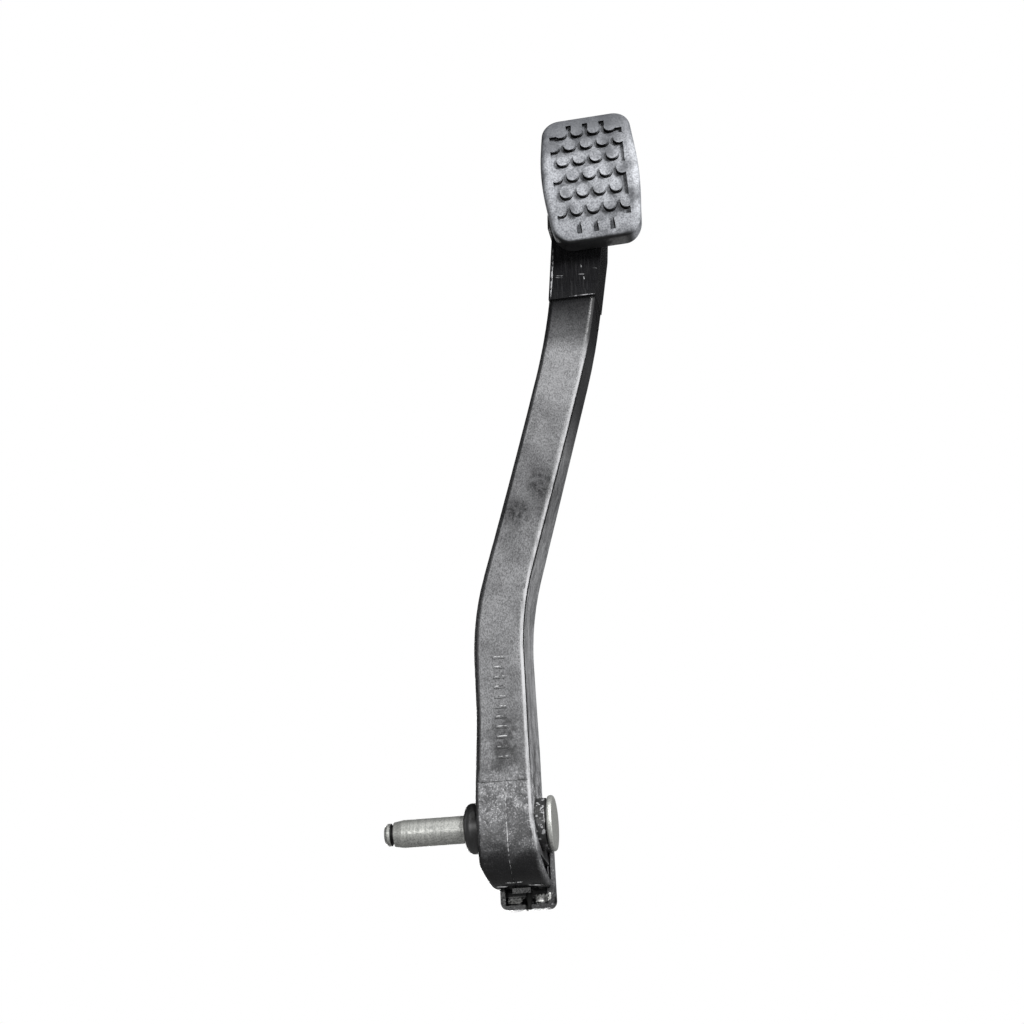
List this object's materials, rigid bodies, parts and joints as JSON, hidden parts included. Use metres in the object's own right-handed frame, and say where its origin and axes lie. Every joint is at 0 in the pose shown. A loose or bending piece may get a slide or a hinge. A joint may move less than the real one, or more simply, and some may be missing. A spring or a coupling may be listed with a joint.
{
  "type": "clutch pedal",
  "caption": "Cable-operated clutch pedal: cranked moulded arm with dotted rubber tread, bushed hub on a headed pivot pin, and a slotted claw for the cable nipple.",
  "frame": {"origin": "on the pivot axis at the shoulder of the pivot pin, where the bracket boss seats", "axes": "+X along the pivot axis from the free spigot to the pin head; +Y away from the foot, the way the tread is pressed; +Z from the pivot up to the tread"},
  "size_m": [0.1363, 0.0675, 0.3536],
  "materials": {
    "arm_plastic": "satin, glass-filled moulding",
    "pad_rubber": "matt moulded rubber",
    "pin_steel": "plated steel, satin",
    "bush_plastic": "smooth, slightly oily"
  },
  "bodies": {
    "pin": {"pivot_pin": "pin_steel"},
    "pedal": {"pedal_arm": "arm_plastic", "pedal_pad": "pad_rubber", "left_bush": "bush_plastic", "right_bush": "bush_plastic"}
  },
  "joints": [
    {"name": "pedal_swing", "type": "hinge", "parent": "pin", "child": "pedal", "pos_m": [0, 0, 0], "axis": [-1, 0, 0], "range_deg": [0, 28]}
  ]
}
